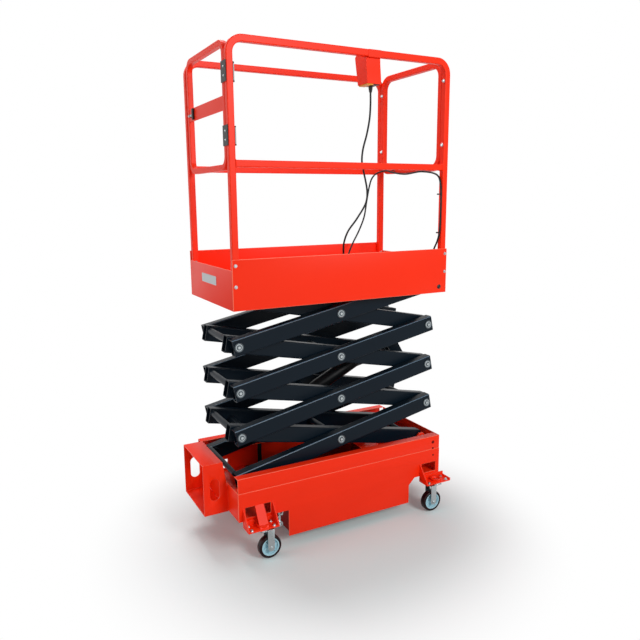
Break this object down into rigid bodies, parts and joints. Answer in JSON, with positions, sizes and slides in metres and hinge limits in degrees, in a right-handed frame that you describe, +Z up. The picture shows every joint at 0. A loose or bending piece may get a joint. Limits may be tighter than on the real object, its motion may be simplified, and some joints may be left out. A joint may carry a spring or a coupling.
{
  "type": "push-around scissor lift",
  "caption": "Push-around scissor lift: wheeled red base, stacked scissor arms lifted by a hydraulic cylinder, railed platform with swing gate.",
  "frame": {"origin": "on the floor, at the centre of the outline seen from above", "axes": "+X towards the end where the arms are pinned, -X towards the gate and step, +Z up"},
  "size_m": [1.3152, 0.73, 2.337],
  "materials": {
    "red_paint": "powder coated orange red",
    "arm_paint": "powder coated anthracite",
    "zinc": "zinc plated",
    "rim_paint": "pale grey blue",
    "tyre": "dark polyurethane",
    "black_paint": "satin black",
    "chrome": "hard chrome",
    "black_plastic": "moulded black",
    "pump_iron": "painted black",
    "lead_rubber": "black sheath"
  },
  "bodies": {
    "chassis": {"right_base_rail": "red_paint", "left_base_rail": "red_paint", "right_side_plate": "red_paint", "left_side_plate": "red_paint", "rear_wall": "red_paint", "front_wall": "red_paint", "rear_floor": "red_paint", "front_floor_and_pivot_lugs": "red_paint", "equipment_well": "red_paint", "battery_block": "black_plastic", "pump_block": "pump_iron", "entry_step": "red_paint", "right_rear_caster_bracket": "red_paint", "right_front_caster_bracket": "red_paint", "left_rear_caster_bracket": "red_paint", "left_front_caster_bracket": "red_paint"},
    "right_rear_caster": {"right_rear_caster_fork": "zinc"},
    "right_rear_wheel": {"right_rear_rim": "rim_paint", "right_rear_tyre": "tyre"},
    "right_front_caster": {"right_front_caster_fork": "zinc"},
    "right_front_wheel": {"right_front_rim": "rim_paint", "right_front_tyre": "tyre"},
    "left_rear_caster": {"left_rear_caster_fork": "zinc"},
    "left_rear_wheel": {"left_rear_rim": "rim_paint", "left_rear_tyre": "tyre"},
    "left_front_caster": {"left_front_caster_fork": "zinc"},
    "left_front_wheel": {"left_front_rim": "rim_paint", "left_front_tyre": "tyre"},
    "inner_1": {"inner_frame_1": "arm_paint"},
    "outer_1": {"right_outer_arm_1": "arm_paint", "left_outer_arm_1": "arm_paint", "slide_tie_tube": "arm_paint"},
    "inner_2": {"inner_frame_2": "arm_paint"},
    "outer_2": {"right_outer_arm_2": "arm_paint", "left_outer_arm_2": "arm_paint"},
    "inner_3": {"inner_frame_3": "arm_paint"},
    "outer_3": {"right_outer_arm_3": "arm_paint", "left_outer_arm_3": "arm_paint"},
    "inner_4": {"inner_frame_4": "arm_paint"},
    "outer_4": {"right_outer_arm_4": "arm_paint", "left_outer_arm_4": "arm_paint"},
    "barrel": {"cylinder_barrel": "black_paint"},
    "rod": {"cylinder_rod": "chrome"},
    "platform": {"right_toe_board": "red_paint", "left_toe_board": "red_paint", "rear_toe_board": "red_paint", "front_toe_board": "red_paint", "platform_deck": "red_paint", "right_slide_track": "red_paint", "left_slide_track": "red_paint", "right_guardrail": "red_paint", "left_guardrail": "red_paint", "front_guardrail": "red_paint", "gate_hinge_upper": "zinc", "gate_hinge_lower": "zinc", "control_box": "red_paint", "cable_gland": "black_plastic", "control_lead": "lead_rubber"},
    "gate": {"gate": "red_paint"}
  },
  "joints": [
    {"name": "lift", "type": "hinge", "parent": "chassis", "child": "inner_1", "pos_m": [0.59165, 0, 0.357], "axis": [0, 1, 0], "range_deg": [-6.9, 41]},
    {"name": "centre_pivot_1", "type": "hinge", "parent": "inner_1", "child": "outer_1", "pos_m": [0.05415, 0, 0.4655], "axis": [0, 1, 0], "range_deg": [-82.2, 14]},
    {"name": "front_pivot_1", "type": "hinge", "parent": "outer_1", "child": "inner_2", "pos_m": [0.59165, 0, 0.574], "axis": [0, 1, 0], "range_deg": [-14, 82.2]},
    {"name": "centre_pivot_2", "type": "hinge", "parent": "inner_2", "child": "outer_2", "pos_m": [0.05415, 0, 0.6825], "axis": [0, 1, 0], "range_deg": [-82.2, 14]},
    {"name": "front_pivot_2", "type": "hinge", "parent": "outer_2", "child": "inner_3", "pos_m": [0.59165, 0, 0.791], "axis": [0, 1, 0], "range_deg": [-14, 82.2]},
    {"name": "centre_pivot_3", "type": "hinge", "parent": "inner_3", "child": "outer_3", "pos_m": [0.05415, 0, 0.8995], "axis": [0, 1, 0], "range_deg": [-82.2, 14]},
    {"name": "front_pivot_3", "type": "hinge", "parent": "outer_3", "child": "inner_4", "pos_m": [0.59165, 0, 1.008], "axis": [0, 1, 0], "range_deg": [-14, 82.2]},
    {"name": "centre_pivot_4", "type": "hinge", "parent": "inner_4", "child": "outer_4", "pos_m": [0.05415, 0, 1.1165], "axis": [0, 1, 0], "range_deg": [-82.2, 14]},
    {"name": "platform_pivot", "type": "hinge", "parent": "outer_4", "child": "platform", "pos_m": [0.59165, 0, 1.225], "axis": [0, 1, 0], "range_deg": [-7.1, 41.2]},
    {"name": "barrel_pivot", "type": "hinge", "parent": "inner_2", "child": "barrel", "pos_m": [-0.01772, 0, 0.66334], "axis": [0, 1, 0], "range_deg": [-71.35, 12.26]},
    {"name": "rod_slide", "type": "slide", "parent": "barrel", "child": "rod", "axis": [0.8948, 0, 0.4464], "range_m": [-0.0268, 0.1541]},
    {"name": "gate_hinge", "type": "hinge", "parent": "platform", "child": "gate", "pos_m": [-0.49005, -0.2727, 1.725], "axis": [0, 0, -1], "range_deg": [0, 90], "stiffness_Nm_per_rad": 4},
    {"name": "right_rear_swivel", "type": "hinge", "parent": "chassis", "child": "right_rear_caster", "pos_m": [-0.43535, -0.333, 0.15], "axis": [0, 0, 1], "continuous": true},
    {"name": "right_rear_wheel_spin", "type": "hinge", "parent": "right_rear_caster", "child": "right_rear_wheel", "pos_m": [-0.40335, -0.333, 0.057], "axis": [0, 1, 0], "continuous": true},
    {"name": "right_front_swivel", "type": "hinge", "parent": "chassis", "child": "right_front_caster", "pos_m": [0.58465, -0.333, 0.15], "axis": [0, 0, 1], "continuous": true},
    {"name": "right_front_wheel_spin", "type": "hinge", "parent": "right_front_caster", "child": "right_front_wheel", "pos_m": [0.55265, -0.333, 0.057], "axis": [0, 1, 0], "continuous": true},
    {"name": "left_rear_swivel", "type": "hinge", "parent": "chassis", "child": "left_rear_caster", "pos_m": [-0.43535, 0.333, 0.15], "axis": [0, 0, 1], "continuous": true},
    {"name": "left_rear_wheel_spin", "type": "hinge", "parent": "left_rear_caster", "child": "left_rear_wheel", "pos_m": [-0.40335, 0.333, 0.057], "axis": [0, 1, 0], "continuous": true},
    {"name": "left_front_swivel", "type": "hinge", "parent": "chassis", "child": "left_front_caster", "pos_m": [0.58465, 0.333, 0.15], "axis": [0, 0, 1], "continuous": true},
    {"name": "left_front_wheel_spin", "type": "hinge", "parent": "left_front_caster", "child": "left_front_wheel", "pos_m": [0.55265, 0.333, 0.057], "axis": [0, 1, 0], "continuous": true}
  ],
  "couplings": [
    {"joint": "centre_pivot_1", "follows": "lift", "ratio": -2},
    {"joint": "front_pivot_1", "follows": "lift", "ratio": 2},
    {"joint": "centre_pivot_2", "follows": "lift", "ratio": -2},
    {"joint": "front_pivot_2", "follows": "lift", "ratio": 2},
    {"joint": "centre_pivot_3", "follows": "lift", "ratio": -2},
    {"joint": "front_pivot_3", "follows": "lift", "ratio": 2},
    {"joint": "centre_pivot_4", "follows": "lift", "ratio": -2},
    {"joint": "platform_pivot", "follows": "lift", "ratio": 1},
    {"joint": "barrel_pivot", "follows": "lift", "ratio": -1.733},
    {"joint": "rod_slide", "follows": "lift", "m_per_rad": 0.214}
  ]
}
